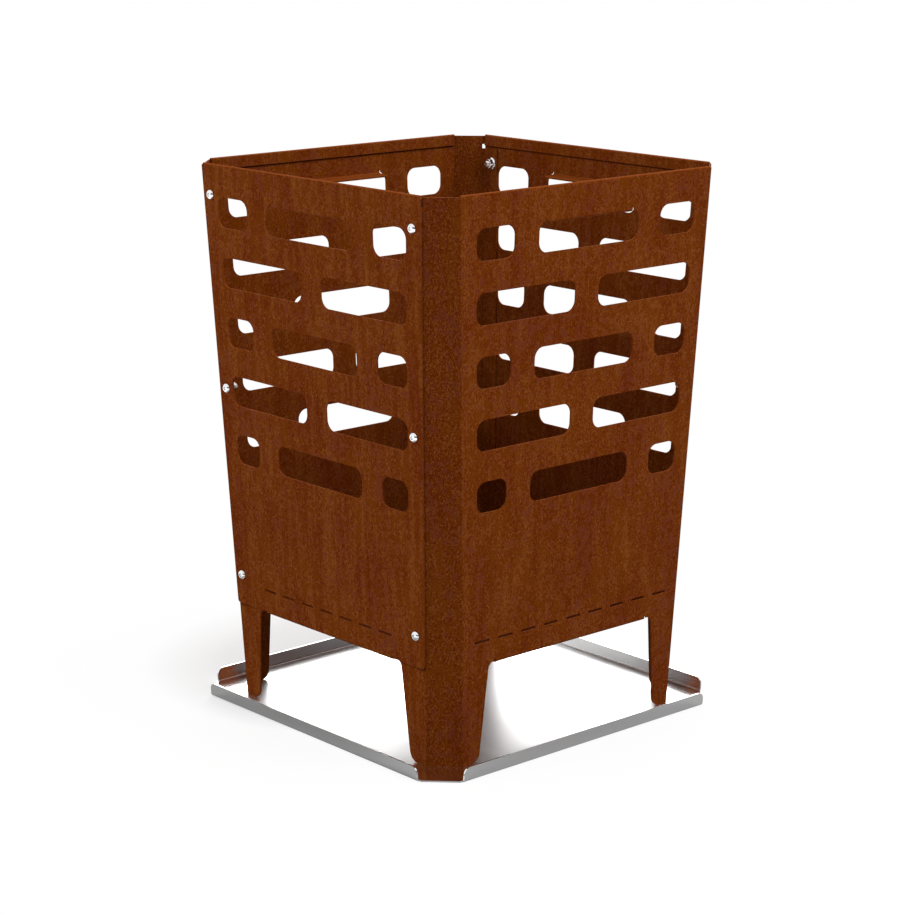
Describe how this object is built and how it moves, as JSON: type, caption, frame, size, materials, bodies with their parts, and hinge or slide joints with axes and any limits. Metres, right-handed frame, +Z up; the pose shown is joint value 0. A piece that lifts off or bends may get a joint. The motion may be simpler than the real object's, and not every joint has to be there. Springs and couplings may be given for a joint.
{
  "type": "fire basket",
  "caption": "Square tapered fire basket of rusted sheet steel with rounded openings, on four folded legs in a polished floor tray, with a lift-out grate.",
  "frame": {"origin": "middle of the tray's underside, on the floor", "axes": "+Z up through the middle of the basket; -Y out through the front flat panel; +X out through the right folded panel"},
  "size_m": [0.4132, 0.4132, 0.5825],
  "materials": {
    "rusted_steel": "bare sheet steel under an even, matt brown layer of rust, with orange cut edges",
    "grate_steel": "bare steel plate, rusted dark brown and matt",
    "polished_steel": "stainless steel sheet, polished like a mirror",
    "fastener_steel": "bright stainless steel, smooth turned heads"
  },
  "bodies": {
    "tray": {"ash_tray": "polished_steel"},
    "basket": {"side_panel_right": "rusted_steel", "side_panel_left": "rusted_steel", "flat_panel_front": "rusted_steel", "flat_panel_back": "rusted_steel", "screw_front_left_top": "fastener_steel", "screw_front_left_middle": "fastener_steel", "screw_front_left_bottom": "fastener_steel", "screw_front_right_top": "fastener_steel", "screw_front_right_middle": "fastener_steel", "screw_front_right_bottom": "fastener_steel", "screw_back_left_top": "fastener_steel", "screw_back_left_middle": "fastener_steel", "screw_back_left_bottom": "fastener_steel", "screw_back_right_top": "fastener_steel", "screw_back_right_middle": "fastener_steel", "screw_back_right_bottom": "fastener_steel", "nut_front_left_top": "fastener_steel", "nut_front_left_middle": "fastener_steel", "nut_front_left_bottom": "fastener_steel", "nut_front_right_top": "fastener_steel", "nut_front_right_middle": "fastener_steel", "nut_front_right_bottom": "fastener_steel", "nut_back_left_top": "fastener_steel", "nut_back_left_middle": "fastener_steel", "nut_back_left_bottom": "fastener_steel", "nut_back_right_top": "fastener_steel", "nut_back_right_middle": "fastener_steel", "nut_back_right_bottom": "fastener_steel"},
    "grate": {"fire_grate": "grate_steel"}
  },
  "joints": [
    {"name": "basket_lift", "type": "slide", "parent": "tray", "child": "basket", "axis": [0, 0, 1], "range_m": [0, 0.15]},
    {"name": "grate_lift", "type": "slide", "parent": "basket", "child": "grate", "axis": [0, 0, 1], "range_m": [0, 0.49]}
  ]
}
